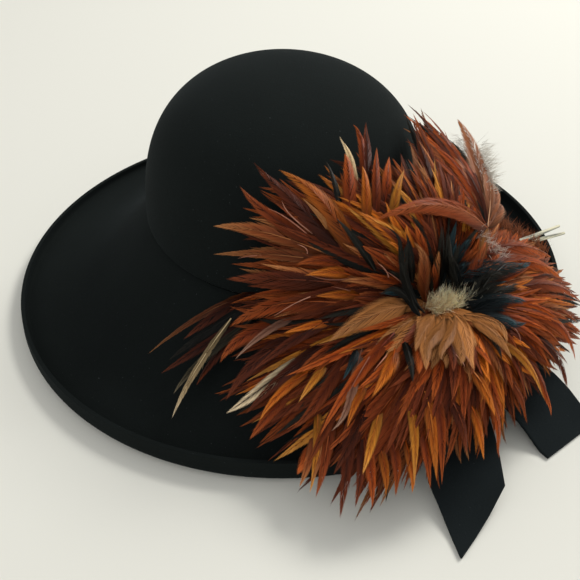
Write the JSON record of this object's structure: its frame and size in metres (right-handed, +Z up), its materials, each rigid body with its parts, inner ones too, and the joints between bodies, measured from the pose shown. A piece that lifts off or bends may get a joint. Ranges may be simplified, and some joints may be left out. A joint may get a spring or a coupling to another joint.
{
  "type": "feathered felt hat",
  "caption": "Wide-brimmed felt hat with a round crown and turned-up rim, trimmed in front with a feather rosette, feather sprays and felt ribbon tails.",
  "frame": {"origin": "middle of the footprint, on the surface that the hat stands on", "axes": "+Z up, +Y towards the back of the hat, +X towards the wearer's left, the trimmed side"},
  "size_m": [0.3486, 0.4136, 0.1365],
  "materials": {
    "felt": "matt black wool felt with a short nap",
    "tail_felt": "matt black cut felt, a little thinner and softer",
    "hackle_rust": "satin rust and orange cock hackles with dark roots",
    "hackle_mahogany": "satin mahogany hackles, some black or cream",
    "down": "soft matt cream and tan down"
  },
  "bodies": {
    "root": {"crown": "felt", "brim": "felt", "feather_rosette": "hackle_rust", "upper_spray": "hackle_mahogany", "side_spray": "hackle_mahogany", "centre_tuft": "down", "ribbon_tail_front": "tail_felt", "ribbon_tail_side": "tail_felt"}
  },
  "joints": []
}
